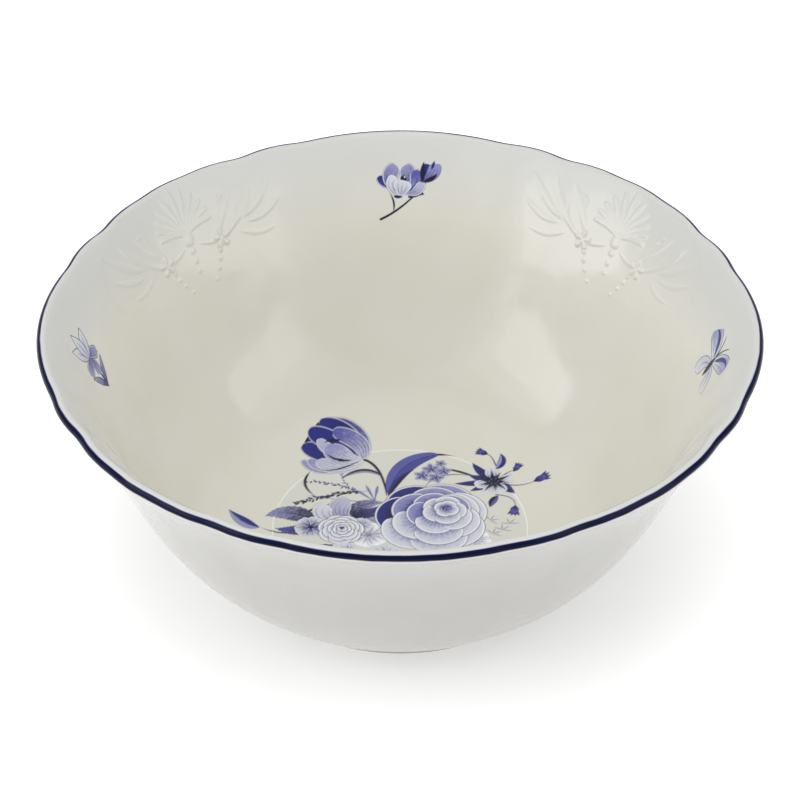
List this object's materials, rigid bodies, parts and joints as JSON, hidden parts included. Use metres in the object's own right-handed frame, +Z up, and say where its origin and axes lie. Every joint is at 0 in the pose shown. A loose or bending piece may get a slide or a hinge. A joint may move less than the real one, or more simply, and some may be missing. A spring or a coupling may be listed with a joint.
{
  "type": "serving bowl",
  "caption": "Deep round porcelain serving bowl with a flared scalloped lip, cobalt edge band, blue floral transfers inside and a plain foot ring.",
  "frame": {"origin": "on the surface the bowl stands on, under its axis", "axes": "+Z up along the bowl's axis; -Y is the front, the side seen first; the rose sprig is on the +Y side and the butterfly on the +X side"},
  "size_m": [0.23, 0.23, 0.091],
  "materials": {
    "glazed_porcelain": "clear gloss glaze over ivory-white porcelain",
    "biscuit": "ground unglazed biscuit, matt",
    "cobalt_enamel": "gloss cobalt enamel, brushed on",
    "printed_enamel": "printed cobalt and lilac enamel fired into the glaze"
  },
  "bodies": {
    "root": {"bowl_body": "glazed_porcelain", "foot_ring": "biscuit", "rim_band": "cobalt_enamel", "bouquet_transfer": "printed_enamel", "rose_sprig_transfer": "printed_enamel", "iris_transfer": "printed_enamel", "butterfly_transfer": "printed_enamel", "bellflower_transfer": "printed_enamel"}
  },
  "joints": []
}
